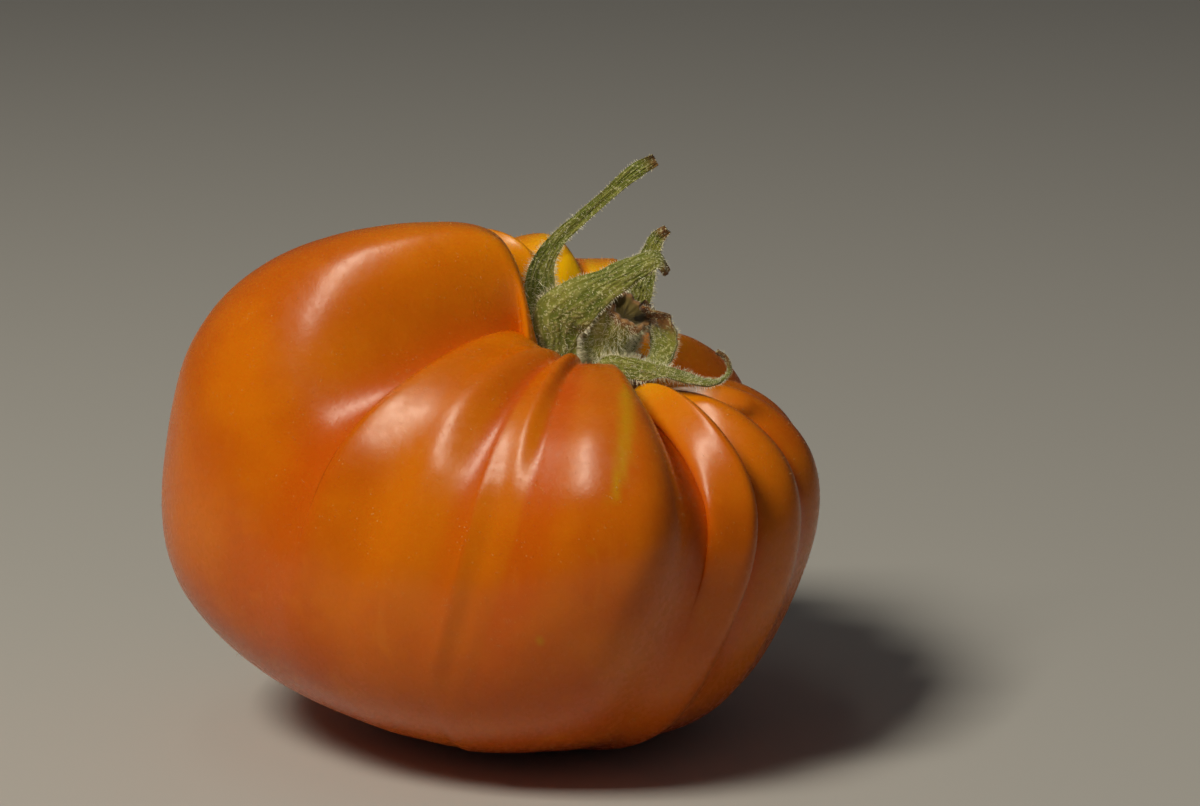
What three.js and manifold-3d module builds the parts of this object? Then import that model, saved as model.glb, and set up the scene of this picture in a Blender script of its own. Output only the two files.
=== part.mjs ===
// A ripe, ribbed beefsteak tomato with its drying green calyx and a short stub of stem.
// Millimetres, +Z up. The origin is on the small flat spot that the fruit rests on, straight below
// its centre of mass. The side with the broad front lobes faces -Y.
import * as THREE from "three";
import * as BufferGeometryUtils from "three/addons/utils/BufferGeometryUtils.js";
import Module from "manifold-3d";

// Driving dimensions of the fruit
const CAVITY_HEIGHT = 49; // floor of the stem cavity above the blossom end
const AXIS_LEAN = 13.7; // how far the stem sits to the right of the blossom end
const LEAN_REACH = 1.1; // share of the cavity height where the lean is complete
const BASE_X = 3.1; // blossom end from the centre of mass
const BASE_Y = 0.3;
const SETTLE = 0.8; // how much of the underside the resting spot flattens

// The lobes, counter-clockwise from the right. The groove of a lobe is the one at its start.
// groove and drift: degrees round the stem, and how far they turn from cavity to blossom end
// cuts: depth of the groove on the inner wall, on the shoulder and at the waist
// floor: how rounded the groove is below the shoulder; fall: how late the lobes drop into it
// reach and waist: radius at the widest place and its height; top and ridge: height and radius
// of the shoulder; wall: radius of the cavity; heel: how round the lobe is underneath
const LOBES = [
  { groove: -19, drift: 0, cuts: [2, 2.4, 1.2], floor: 0.2, fall: 2.2, reach: 37,
    waist: 20, top: 51.2, ridge: 20, wall: 8, heel: 0.22 },
  { groove: 9, drift: 0, cuts: [2, 2.4, 1.2], floor: 0.2, fall: 2.2, reach: 37.6,
    waist: 22, top: 50.6, ridge: 20, wall: 8, heel: 0.17 },
  { groove: 36, drift: 0, cuts: [2, 2.8, 1.2], floor: 0.2, fall: 2.2, reach: 38.4,
    waist: 27, top: 56, ridge: 18, wall: 8, heel: 0.18 },
  { groove: 70, drift: 0, cuts: [2, 3, 1.2], floor: 0.2, fall: 2.2, reach: 43.2,
    waist: 34, top: 66, ridge: 22.6, wall: 9, heel: 0.24 },
  { groove: 102, drift: 0, cuts: [0.6, 0.8, 0.4], floor: 0.4, fall: 2, reach: 45,
    waist: 37, top: 70.3, ridge: 22, wall: 10, heel: 0.28 },
  { groove: 136, drift: 0, cuts: [2, 2, 1.2], floor: 0.2, fall: 2.2, reach: 50,
    waist: 40, top: 71.5, ridge: 29, wall: 12, heel: 0.34 },
  { groove: 148, drift: 0, cuts: [4, 4, 1.5], floor: 0.2, fall: 2.2, reach: 61.2,
    waist: 42.5, top: 76.7, ridge: 33, wall: 12, heel: 0.53 },
  { groove: 223, drift: -4, cuts: [4, 5, 3.6], floor: 0.08, fall: 3.6, reach: 49.9,
    waist: 36.2, top: 58.5, ridge: 24, wall: 9, heel: 0.42 },
  { groove: 243.5, drift: 26, cuts: [1.6, 1.6, 0.3], floor: 0.5, fall: 2, reach: 47.5,
    waist: 34, top: 57.5, ridge: 20, wall: 9, heel: 0.35 },
  { groove: 260, drift: 18, cuts: [0.7, 1.1, 0.1], floor: 0.5, fall: 2, reach: 46,
    waist: 33, top: 57.5, ridge: 19, wall: 8, heel: 0.32 },
  { groove: 296, drift: 4, cuts: [3, 5, 3.4], floor: 0.2, fall: 2, reach: 41.5,
    waist: 27, top: 53, ridge: 19, wall: 8, heel: 0.24 },
  { groove: 313, drift: 12, cuts: [2, 3.4, 2.4], floor: 0.2, fall: 2, reach: 38,
    waist: 21, top: 51.5, ridge: 19, wall: 8, heel: 0.26 },
];

// Shares of the way from cavity to blossom end where the grooves change
const ROUND_FROM = 0.25; // the grooves begin to round out
const ROUND_TO = 0.5;
const WAVED_FROM = 0.75; // nothing is left of the creases
const CRISP_FADE = 0.4; // length over which they fade
const SHARPEST_FLOOR = 0.02; // of half a lobe's width
const CREASE_RISE = 0.25; // how far a crease stands above the lower of its two lobes

// How finely the fruit is faceted
const COLUMN_TURN = 5.5; // degrees
const FEWEST_COLUMNS = 6; // in one lobe
const ROWS = 38;
const FIRST_ROW = 0.03; // share of the way from cavity to blossom end
const LAST_ROW = 0.97;

// Driving dimensions of the calyx and the stem stub
const STEM_X = BASE_X + AXIS_LEAN - 0.3;
const STEM_Y = BASE_Y;
const CALYX_FLOOR = 49.4;
const BLADE_THICKNESS = 0.8;
const RIB_HEIGHT = 0.16;
const RIB_COUNT = 5;
const EDGE_THINNING = 0.6; // blades thin from rib to edge by the square root of what is left
const CUP_WIDTH = 3; // half width at which the cup is as deep as stated
const BLADE_STEPS = 20;
const BLADE_COLUMNS = 10;
const STEM_RADIUS = 3.1;
const STEM_SIDES = 20;

const DEGREE = Math.PI / 180;
const MIDDLE = 0.45; // share of the way down where the groove angles are stated

const wasm = await Module();
wasm.setup();

// Solids

function toSolid(geometry) {
  const plain = geometry.clone();
  plain.deleteAttribute("normal");
  plain.deleteAttribute("uv");
  const merged = BufferGeometryUtils.mergeVertices(plain, 1e-5);
  return new wasm.Manifold(
    new wasm.Mesh({
      numProp: 3,
      vertProperties: new Float32Array(merged.attributes.position.array),
      triVerts: new Uint32Array(merged.index.array),
    }),
  );
}

function toGeometry(solid) {
  const mesh = solid.getMesh();
  const geometry = new THREE.BufferGeometry();
  geometry.setAttribute("position", new THREE.BufferAttribute(new Float32Array(mesh.vertProperties), 3));
  geometry.setIndex(new THREE.BufferAttribute(new Uint32Array(mesh.triVerts), 1));
  geometry.computeVertexNormals();
  return geometry;
}

// Closed skin over rings of points: every ring has the same number of points, the ends are fans
function skinOfRings(rings, startPoint, endPoint) {
  const size = rings[0].length;
  const positions = [startPoint, ...rings.flat(), endPoint].flatMap((point) => point.toArray());
  const last = rings.length * size + 1;
  const index = [];
  for (let i = 0; i < size; i += 1) {
    const next = (i + 1) % size;
    index.push(0, 1 + next, 1 + i);
    for (let ring = 0; ring < rings.length - 1; ring += 1) {
      const a = 1 + ring * size + i;
      const b = 1 + ring * size + next;
      index.push(a, b, a + size, b, b + size, a + size);
    }
    const tail = 1 + (rings.length - 1) * size;
    index.push(last, tail + i, tail + next);
  }
  const geometry = new THREE.BufferGeometry();
  geometry.setAttribute("position", new THREE.BufferAttribute(new Float32Array(positions), 3));
  geometry.setIndex(index);
  return geometry;
}

// The fruit

// Uniform cubic B-spline whose end values are tripled, so that it reaches them
function spline(values, t) {
  const padded = [values[0], values[0], ...values, values.at(-1), values.at(-1)];
  const spans = padded.length - 3;
  const x = Math.min(t, 1 - 1e-9) * spans;
  const k = Math.floor(x);
  const f = x - k;
  const weights = [
    (1 - f) ** 3 / 6,
    (3 * f ** 3 - 6 * f ** 2 + 4) / 6,
    (-3 * f ** 3 + 3 * f ** 2 + 3 * f + 1) / 6,
    f ** 3 / 6,
  ];
  return weights.reduce((sum, weight, i) => sum + weight * padded[k + i], 0);
}

const mod = (i) => (i + LOBES.length) % LOBES.length;

// Angle of a lobe's first groove at the share v of the way from cavity to blossom end
function grooveAngle(i, v) {
  const lobe = LOBES[mod(i)];
  const turns = i >= LOBES.length ? 360 : 0;
  return lobe.groove + turns + lobe.drift * (v - MIDDLE);
}

function columnAngle(i, u, v) {
  const start = grooveAngle(i, v);
  const end = grooveAngle(i + 1, v);
  return ((start + end) / 2 + (u * (end - start)) / 2) * DEGREE;
}

// How near a place is to its groove, from 0 on the crest of the lobe to 1 in the groove. u is -1 and
// 1 at the lobe's two grooves. Creases are crisp by the cavity and fade to waves underneath.
function nearness(u, v, groove) {
  const crisp = THREE.MathUtils.clamp((WAVED_FROM - v) / CRISP_FADE, 0, 1);
  const rounded = THREE.MathUtils.smoothstep(v, ROUND_FROM, ROUND_TO);
  const floor = SHARPEST_FLOOR + groove.floor * rounded;
  const away = (Math.hypot(1 - Math.abs(u), floor) - floor) / (Math.hypot(1, floor) - floor);
  const creased = Math.max(1 - away, 0) ** groove.fall;
  const waved = 0.5 - 0.5 * Math.cos(Math.PI * u);
  return creased * crisp + waved * (1 - crisp);
}

// The lobe that an angle lies in, its neighbour over the nearer groove, and how near that groove is
function locate(angle, v) {
  const degrees = angle / DEGREE;
  for (let i = 0; i < LOBES.length; i += 1) {
    const start = grooveAngle(i, v);
    const end = grooveAngle(i + 1, v);
    const turn = Math.floor((degrees - start) / 360);
    const u = ((degrees - turn * 360 - start) / (end - start)) * 2 - 1;
    if (u < 1) {
      const groove = LOBES[u < 0 ? i : mod(i + 1)];
      return {
        own: LOBES[i],
        other: LOBES[mod(u < 0 ? i - 1 : i + 1)],
        groove,
        share: nearness(u, v, groove),
      };
    }
  }
  return locate(angle - 1e-9, v);
}

// The smooth body before its grooves are pressed in
function bodyPoint(angle, v) {
  const { own, other, share } = locate(angle, v);
  const mix = (key) => own[key] + ((own[key] + other[key]) / 2 - own[key]) * share;
  const low = (key) => {
    const lower = Math.min(own[key], other[key]);
    const crease = lower + CREASE_RISE * (Math.max(own[key], other[key]) - lower);
    return own[key] + (crease - own[key]) * share;
  };
  const reach = mix("reach");
  const waist = mix("waist");
  const top = low("top");
  const ridge = low("ridge");
  const wall = mix("wall");
  const heel = mix("heel");
  // Control points from the floor of the cavity, up its wall and over the shoulder to the blossom end
  const profile = [
    [0, CAVITY_HEIGHT],
    [0.7 * wall, CAVITY_HEIGHT],
    [wall, CAVITY_HEIGHT + 0.66 * (top - CAVITY_HEIGHT)],
    [0.31 * (wall + ridge), top + 0.8],
    [ridge + 0.08 * (reach - ridge), top + 1.2],
    [0.94 * reach, waist + 0.68 * (top - waist)],
    [1.04 * reach, waist],
    [0.92 * reach, waist * heel],
    [0.42 * reach, 0.2 * waist * (heel - 0.15)],
    [0, 0],
  ];
  const radius = spline(profile.map((pair) => pair[0]), v);
  const height = spline(profile.map((pair) => pair[1]), v);
  return new THREE.Vector3(radius * Math.cos(angle), radius * Math.sin(angle), height);
}

function grooveDepth(angle, v) {
  const { groove, share } = locate(angle, v);
  const [inner, shoulder, waist] = groove.cuts;
  const along = [0, 0.5 * inner, inner, inner, shoulder, (shoulder + waist) / 2, waist, 0.3 * waist, 0, 0];
  return share * spline(along, v);
}

function fruitPoint(angle, v) {
  const step = 1e-3;
  const inner = THREE.MathUtils.clamp(v, 2 * step, 1 - 2 * step);
  const around = bodyPoint(angle + step, inner).sub(bodyPoint(angle - step, inner));
  const down = bodyPoint(angle, inner + step).sub(bodyPoint(angle, inner - step));
  const outward = down.cross(around).normalize();
  const point = bodyPoint(angle, v).addScaledVector(outward, -grooveDepth(angle, v));
  const rise = THREE.MathUtils.clamp(point.z / (CAVITY_HEIGHT * LEAN_REACH), 0, 1);
  point.x += AXIS_LEAN * (0.5 - 0.5 * Math.cos(Math.PI * rise)) + BASE_X;
  point.y += BASE_Y;
  point.z -= SETTLE;
  return point;
}

function makeFruit() {
  const rings = [];
  for (let row = 1; row < ROWS; row += 1) {
    const v = FIRST_ROW + ((LAST_ROW - FIRST_ROW) * row) / ROWS;
    const ring = [];
    for (let i = 0; i < LOBES.length; i += 1) {
      const turn = grooveAngle(i + 1, MIDDLE) - grooveAngle(i, MIDDLE);
      const columns = Math.max(FEWEST_COLUMNS, Math.round(turn / COLUMN_TURN));
      for (let column = 0; column < columns; column += 1) {
        const u = Math.sin(Math.PI * (column / columns - 0.5));
        ring.push(fruitPoint(columnAngle(i, u, v), v));
      }
    }
    rings.push(ring.reverse());
  }
  const body = toSolid(skinOfRings(rings, fruitPoint(0, 0), fruitPoint(0, 1)));
  const below = new THREE.BoxGeometry(200, 200, 20).translate(0, 0, -10);
  return toGeometry(body.subtract(toSolid(below)));
}

// The calyx: a small receptacle with five sepals

const at = (x, y, z) => new THREE.Vector3(x, y, z);

// Each sepal runs along its middle line. across points to its second edge at each of those points,
// widths are its full widths there, and cup bends both edges towards its inner face.
const SEPALS = [
  {
    // back left: the long strap that stands up and leans over to the right
    path: [
      at(13.4, 1.4, 53), at(10.4, 3.4, 56), at(8.4, 4.2, 60.5), at(7.7, 4.2, 65), at(8.3, 4, 68.5),
      at(10.2, 3.8, 71.6), at(13.4, 3.6, 74.7), at(17.6, 3.3, 78.5), at(21.6, 3, 82),
      at(24.4, 3, 83.6),
    ],
    across: [
      at(0.6, 0.8, 0), at(0.8, 0.5, 0), at(1, 0, 0), at(1, 0, -0.1), at(0.95, -0.1, -0.2),
      at(0.85, -0.2, -0.4), at(0.75, -0.2, -0.6), at(0.7, -0.2, -0.65), at(0.65, -0.2, -0.7),
      at(0.6, -0.2, -0.75),
    ],
    widths: [4.6, 4.8, 4.8, 4.6, 3.6, 2.5, 2, 1.8, 1.6, 1.5],
    cup: -1.1,
  },
  {
    // front left: the broad one that curls over in front of the stem
    path: [
      at(14.2, -1.8, 52.8), at(11.8, -3.4, 55.2), at(10.6, -4.6, 58.6), at(10.3, -5.2, 62),
      at(12.8, -5.8, 65), at(17.4, -6, 67.4), at(21.6, -5.4, 69.6), at(24.6, -4.6, 70.4),
      at(26, -4, 68.2),
    ],
    across: [
      at(-0.6, 0.8, 0), at(-0.9, 0.3, 0.1), at(-1, 0.1, 0.1), at(-0.9, 0.2, 0.4),
      at(-0.7, 0.3, 0.7), at(-0.55, 0.35, 0.8), at(-0.5, 0.4, 0.8), at(-0.2, 0.4, 0.9),
      at(0.3, 0.3, 0.9),
    ],
    widths: [5.8, 6, 6.4, 7.4, 6.4, 4.8, 3.4, 2.4, 1.3],
    cup: -0.9,
  },
  {
    // back right: short and upright behind the stem
    path: [
      at(18.4, 2.2, 53), at(20.2, 4.2, 56.4), at(21.4, 5.4, 60.3), at(22.5, 6, 64.6),
      at(23.6, 6, 68.6), at(24.6, 5.8, 71.4), at(26.2, 5.4, 73),
    ],
    across: [
      at(0.7, -0.7, 0), at(0.9, -0.4, 0), at(1, -0.2, -0.2), at(1, -0.2, -0.2),
      at(0.9, -0.3, -0.3), at(0.7, -0.3, -0.6), at(0.5, -0.3, -0.8),
    ],
    widths: [4.4, 4.2, 3.8, 3.5, 2.9, 2.2, 1.4],
    cup: -0.8,
  },
  {
    // right: cupped round the stem, its dry end curled in over the top
    path: [
      at(18.6, -1.2, 52.5), at(22.4, -2.6, 53.8), at(25.8, -3.2, 56.2), at(27.3, -3, 59.2),
      at(26.9, -2.6, 61.4), at(25.5, -2.2, 62.7),
    ],
    across: [
      at(-0.2, -1, 0), at(0, -1, 0.3), at(0.3, -0.9, 0.4), at(0.5, -0.8, 0.2), at(0.5, -0.8, -0.2),
      at(0.3, -0.9, -0.3),
    ],
    widths: [5, 6.4, 6.8, 6, 4.6, 3],
    cup: 1.2,
  },
  {
    // front right: low along the shoulder of the fruit, ending in a dry curled thread
    path: [
      at(17, -2.2, 52.6), at(16, -4.4, 54.4), at(16.8, -6, 56.1), at(19.6, -7.1, 56.5),
      at(22.8, -8, 55.6), at(26, -8.6, 54.9), at(29, -9, 54.1), at(31.8, -9, 53.5),
      at(33.8, -8.8, 53.8), at(34.8, -8.4, 55.2), at(34.2, -8, 57), at(33, -7.8, 57.8),
    ],
    across: [
      at(0.9, 0.2, 0), at(0.8, 0.5, 0.3), at(0.3, 0.5, 0.8), at(0.1, 0.4, 1), at(0.1, 0.5, 0.9),
      at(0.1, 0.8, 0.6), at(0.1, 1, 0.3), at(0.2, 1, 0.1), at(0.1, 1, 0), at(0, 1, 0), at(0, 1, 0),
      at(0, 1, 0),
    ],
    widths: [4.4, 4.2, 3.8, 3.4, 2.8, 1.9, 2.4, 2.2, 1.3, 0.9, 0.85, 0.8],
    cup: -0.3,
  },
];

// Value of a list at the share t of its length
function alongList(list, t) {
  const x = Math.min(t, 1 - 1e-9) * (list.length - 1);
  const k = Math.floor(x);
  return list[k] + (list[k + 1] - list[k]) * (x - k);
}

function makeSepal({ path, across, widths, cup }) {
  const middle = new THREE.CatmullRomCurve3(path);
  const sideways = new THREE.CatmullRomCurve3(across);
  const rings = [];
  const ends = [];
  for (let step = 0; step <= BLADE_STEPS; step += 1) {
    const t = step / BLADE_STEPS;
    const centre = middle.getPoint(t);
    const forward = middle.getTangent(t);
    const side = sideways.getPoint(t);
    side.addScaledVector(forward, -side.dot(forward)).normalize();
    const face = new THREE.Vector3().crossVectors(forward, side);
    const half = alongList(widths, t) / 2;
    const bend = cup * (half / CUP_WIDTH) ** 2;
    const blade = (s, offset) => {
      const fade = Math.sqrt(1 - EDGE_THINNING * s * s);
      return centre
        .clone()
        .addScaledVector(side, s * half)
        .addScaledVector(face, bend * s * s + offset * fade);
    };
    const upper = [];
    const lower = [];
    for (let column = 0; column <= BLADE_COLUMNS; column += 1) {
      const s = (2 * column) / BLADE_COLUMNS - 1;
      const rib = RIB_HEIGHT * Math.cos(RIB_COUNT * Math.PI * s) * Math.min(1, half / 2);
      upper.push(blade(s, BLADE_THICKNESS / 2 + rib));
      lower.push(blade(s, -BLADE_THICKNESS / 2 + rib));
    }
    rings.push([...upper, ...lower.reverse()]);
    ends.push(centre);
  }
  return toSolid(skinOfRings(rings.map((ring) => ring.reverse()), ends[0], ends.at(-1)));
}

function makeCalyx() {
  const outline = [
    [0, 0],
    [3.2, 0.2],
    [4.5, 1.6],
    [4.7, 3.4],
    [3.9, 4.8],
    [0, 4.8],
  ].map(([radius, height]) => new THREE.Vector2(radius, CALYX_FLOOR + height));
  const receptacle = new THREE.LatheGeometry(outline, 24).rotateX(Math.PI / 2).translate(STEM_X, STEM_Y, 0);
  const pieces = [toSolid(receptacle), ...SEPALS.map(makeSepal)];
  return toGeometry(wasm.Manifold.union(pieces));
}

// The stub of stem: a short thick joint that flares into a dry, hollow rim where it broke off
const STEM_PATH = [at(16.6, 0.3, 55.3), at(16.8, 0.1, 56.6), at(18.3, -1.1, 59.6), at(20.6, -2.6, 62.8)];
const STEM_PROFILE = [1, 0.97, 0.95, 0.97, 1.06, 1.17]; // of its radius, from foot to rim
const HOLLOW_DEPTH = 1.8;
const HOLLOW_MOUTH = 0.84; // of the stem's radius
const HOLLOW_END = 0.6;
const MOUTH_SINK = 0.1;

function makeStem() {
  const middle = new THREE.CatmullRomCurve3(STEM_PATH);
  const steps = STEM_PROFILE.length * 2;
  const rings = [];
  const ring = (t, radius, sink) => {
    const centre = middle.getPoint(t);
    const forward = middle.getTangent(t);
    const side = at(0, -1, 0).addScaledVector(forward, forward.y).normalize();
    const up = new THREE.Vector3().crossVectors(forward, side);
    const points = [];
    for (let i = 0; i < STEM_SIDES; i += 1) {
      const angle = (2 * Math.PI * i) / STEM_SIDES;
      points.push(
        centre
          .clone()
          .addScaledVector(side, radius * Math.cos(angle))
          .addScaledVector(up, radius * Math.sin(angle))
          .addScaledVector(forward, -sink),
      );
    }
    return points;
  };
  for (let step = 0; step <= steps; step += 1) {
    const t = step / steps;
    rings.push(ring(t, STEM_RADIUS * alongList(STEM_PROFILE, t), 0));
  }
  rings.push(ring(1, STEM_RADIUS * HOLLOW_MOUTH, MOUTH_SINK));
  rings.push(ring(1, STEM_RADIUS * HOLLOW_END, HOLLOW_DEPTH));
  const start = middle.getPoint(0);
  const end = middle.getPoint(1).addScaledVector(middle.getTangent(1), -HOLLOW_DEPTH);
  return toGeometry(toSolid(skinOfRings(rings, start, end)));
}

const tomato = new THREE.Group();
tomato.name = "tomato";

const skin = new THREE.MeshStandardMaterial({ color: 0xd0661a, roughness: 0.35, metalness: 0 });
const leafGreen = new THREE.MeshStandardMaterial({ color: 0x76803a, roughness: 0.85, metalness: 0 });
const stemGreen = new THREE.MeshStandardMaterial({ color: 0x8a8a44, roughness: 0.85, metalness: 0 });

function addPart(name, geometry, material) {
  const mesh = new THREE.Mesh(geometry, material);
  mesh.name = name;
  tomato.add(mesh);
}

addPart("fruit", makeFruit(), skin);
addPart("calyx", makeCalyx(), leafGreen);
addPart("stem_stub", makeStem(), stemGreen);

export default tomato;
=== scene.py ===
import math

import bpy
import numpy as np
from mathutils import Matrix, Vector, noise


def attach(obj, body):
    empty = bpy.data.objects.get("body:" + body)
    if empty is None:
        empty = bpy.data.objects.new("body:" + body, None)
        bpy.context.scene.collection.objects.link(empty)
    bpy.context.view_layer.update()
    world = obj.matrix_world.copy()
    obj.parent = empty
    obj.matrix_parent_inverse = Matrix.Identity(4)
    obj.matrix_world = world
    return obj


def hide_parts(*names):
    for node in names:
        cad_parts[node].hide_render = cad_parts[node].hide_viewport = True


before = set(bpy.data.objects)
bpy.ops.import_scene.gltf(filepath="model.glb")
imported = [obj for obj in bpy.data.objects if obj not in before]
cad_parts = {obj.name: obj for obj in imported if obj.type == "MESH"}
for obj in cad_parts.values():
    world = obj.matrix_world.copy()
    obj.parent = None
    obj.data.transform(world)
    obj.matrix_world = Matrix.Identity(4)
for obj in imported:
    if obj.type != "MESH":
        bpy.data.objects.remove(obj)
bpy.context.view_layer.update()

MM = 0.001
random_draw = np.random.default_rng(11)

# Driving dimensions of the fruit
CAVITY_HEIGHT = 49  # floor of the stem cavity above the blossom end
AXIS_LEAN = 13.7  # how far the stem sits to the right of the blossom end
LEAN_REACH = 1.1  # share of the cavity height where the lean is complete
BASE_X = 3.1  # blossom end from the centre of mass
BASE_Y = 0.3
SETTLE = 0.8  # how much of the underside the resting spot flattens

# The lobes, counter-clockwise from the right. The groove of a lobe is the one at its start.
# groove and drift: degrees round the stem, and how far they turn from cavity to blossom end
# cuts: depth of the groove on the inner wall, on the shoulder and at the waist
# floor: how rounded the groove is below the shoulder; fall: how late the lobes drop into it
# reach and waist: radius at the widest place and its height; top and ridge: height and radius
# of the shoulder; wall: radius of the cavity; heel: how round the lobe is underneath
# gold: how golden its shoulder is, and where it goes past 1, on the lobe behind the calyx, painted
# light for the bright patch that falls there; crown: how far its crest bulges; shoulder: how far its
# upper shoulder is raised and its lower one drawn in
LOBES = [
    {"groove": -19, "drift": 0, "cuts": (2, 2.4, 1.2), "floor": 0.2, "fall": 2.2, "reach": 37,
     "waist": 20, "top": 51.2, "ridge": 20, "wall": 8, "heel": 0.22,
     "gold_and_painted_light": 0.4, "crown": 0.3, "shoulder": 0},
    {"groove": 9, "drift": 0, "cuts": (2, 2.4, 1.2), "floor": 0.2, "fall": 2.2, "reach": 37.6,
     "waist": 22, "top": 50.6, "ridge": 20, "wall": 8, "heel": 0.17,
     "gold_and_painted_light": 0.4, "crown": 0.3, "shoulder": 0},
    {"groove": 36, "drift": 0, "cuts": (2, 2.8, 1.2), "floor": 0.2, "fall": 2.2, "reach": 38.4,
     "waist": 27, "top": 56, "ridge": 18, "wall": 8, "heel": 0.18,
     "gold_and_painted_light": 0.6, "crown": 0.3, "shoulder": 0},
    {"groove": 70, "drift": 0, "cuts": (2, 3, 1.2), "floor": 0.2, "fall": 2.2, "reach": 43.2,
     "waist": 34, "top": 66, "ridge": 22.6, "wall": 9, "heel": 0.24,
     "gold_and_painted_light": 1, "crown": 0.3, "shoulder": 0},
    # gold above 1 on this lobe: golden shoulder plus painted light for the bright patch behind the
    # calyx
    {"groove": 102, "drift": 0, "cuts": (0.6, 0.8, 0.4), "floor": 0.4, "fall": 2, "reach": 45,
     "waist": 37, "top": 70.3, "ridge": 22, "wall": 10, "heel": 0.28,
     "gold_and_painted_light": 1.3, "crown": 0.2, "shoulder": 0},
    {"groove": 136, "drift": 0, "cuts": (2, 2, 1.2), "floor": 0.2, "fall": 2.2, "reach": 50,
     "waist": 40, "top": 71.5, "ridge": 29, "wall": 12, "heel": 0.34,
     "gold_and_painted_light": 0.5, "crown": 0.2, "shoulder": 0},
    {"groove": 148, "drift": 0, "cuts": (4, 4, 1.5), "floor": 0.2, "fall": 2.2, "reach": 61.2,
     "waist": 42.5, "top": 76.7, "ridge": 33, "wall": 12, "heel": 0.53,
     "gold_and_painted_light": 0.2, "crown": 0, "shoulder": -1.2},
    {"groove": 223, "drift": -4, "cuts": (4, 4.8, 3.4), "floor": 0.2, "fall": 3.2, "reach": 49.9,
     "waist": 36.2, "top": 58.5, "ridge": 24, "wall": 9, "heel": 0.42,
     "gold_and_painted_light": 0.1, "crown": -0.2, "shoulder": 1.1},
    {"groove": 245, "drift": 26, "cuts": (1.2, 0.8, 0.3), "floor": 0.5, "fall": 2, "reach": 47,
     "waist": 33.4, "top": 57.5, "ridge": 20, "wall": 9, "heel": 0.34,
     "gold_and_painted_light": 0.1, "crown": 0.35, "shoulder": 0.8},
    {"groove": 256.5, "drift": 16, "cuts": (0.4, 0.2, 0), "floor": 1, "fall": 1.7, "reach": 46.5,
     "waist": 33.2, "top": 56.8, "ridge": 19, "wall": 8, "heel": 0.33,
     "gold_and_painted_light": 0.15, "crown": 0.3, "shoulder": -0.3},
    {"groove": 296, "drift": 4, "cuts": (3, 5, 3.4), "floor": 0.2, "fall": 2, "reach": 41.5,
     "waist": 27, "top": 53, "ridge": 19, "wall": 8, "heel": 0.24,
     "gold_and_painted_light": 0.7, "crown": 0.7, "shoulder": 0.3},
    {"groove": 313, "drift": 12, "cuts": (2, 3.4, 2.4), "floor": 0.2, "fall": 2, "reach": 38,
     "waist": 21, "top": 51.5, "ridge": 19, "wall": 8, "heel": 0.26,
     "gold_and_painted_light": 0.5, "crown": 0.5, "shoulder": 0},
]
LOBE_COUNT = len(LOBES)


def of_lobes(key):
    """One value of every lobe, in order."""
    return np.array([lobe[key] for lobe in LOBES], float)


GROOVE = of_lobes("groove")
DRIFT = of_lobes("drift")
CUTS = of_lobes("cuts")
FLOOR = of_lobes("floor")
FALL = of_lobes("fall")
SIZES = np.stack([of_lobes(key) for key in ("reach", "waist", "top", "ridge", "wall", "heel")], 1)
GOLD_AND_PAINTED_LIGHT = of_lobes("gold_and_painted_light")
CROWN = of_lobes("crown")
SHOULDER = of_lobes("shoulder")

# Shares of the way from cavity to blossom end where the grooves change
MIDDLE = 0.45  # where the groove angles are stated
ROUND_FROM = 0.25  # the grooves begin to round out
ROUND_TO = 0.5
WAVED_FROM = 0.75  # nothing is left of the creases
CRISP_FADE = 0.4  # length over which they fade
SHARPEST_FLOOR = 0.02  # of half a lobe's width
CREASE_RISE = 0.25  # how far a crease stands above the lower of its two lobes

# Shares of the way down where the shoulders are raised and drawn in most, and how far that spreads
UPPER_SHOULDER = 0.42
LOWER_SHOULDER = 0.58
SHOULDER_SPREAD = 0.065

# Soft crests on the two broad front lobes: angle and half width in degrees, height in millimetres
CRESTS = [(229.5, 7, 0.4), (267, 9, 0.6)]

# Small uneven forms of the skin: heights, and the size of the swellings, in millimetres
BROAD_SWELLING = 0.3
BROAD_SIZE = 17
FINE_SWELLING = 0.07
FINE_SIZE = 6
FAINT_RIB = 0.08
PUCKER = 0.3
RIBS_AROUND = 9  # how closely the faint ribs stand
RIB_BEND = 1.3  # how much they change on the way down
PUCKERS_PER_RIB = 2.2

# A pale stripe on the shoulder of the front lobe: degrees, and shares of the way down
STREAK_ANGLE = 278.3
STREAK_DRIFT = -48
STREAK_TOP = 0.445
STREAK_END = 0.572
STREAK_HALF_WIDTH = 2.9
STREAK_OPENING = 0.025
STREAK_CORE = 1.3  # how firm its middle is

# How finely the fruit is divided
ROWS = 226
FIRST_ROW = 0.012
LAST_ROW = 0.985
COLUMN_TURN = 0.95
FEWEST_COLUMNS = 22


def ramp(value, start, end):
    """0 at start, 1 at end and a straight line between them, also where end is the lower one."""
    return np.clip((value - start) / (end - start), 0, 1)


def toward(values, own, other, share):
    """Value of a lobe, halfway to its neighbour's in the groove between them."""
    return values[own] + (values[other] - values[own]) * share / 2


def spline(controls, t):
    """Uniform cubic B-spline whose end values are tripled, so that it reaches them."""
    padded = [controls[0]] * 2 + list(controls) + [controls[-1]] * 2
    stack = np.stack([np.broadcast_to(np.asarray(c, float), t.shape) for c in padded])
    x = np.minimum(t, 1 - 1e-9) * (len(padded) - 3)
    k = np.floor(x).astype(int)
    f = x - k
    weights = (
        (1 - f) ** 3 / 6,
        (3 * f**3 - 6 * f**2 + 4) / 6,
        (-3 * f**3 + 3 * f**2 + 3 * f + 1) / 6,
        f**3 / 6,
    )
    total = np.zeros(t.shape)
    for i, weight in enumerate(weights):
        total += weight * np.take_along_axis(stack, (k + i)[None], 0)[0]
    return total


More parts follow.
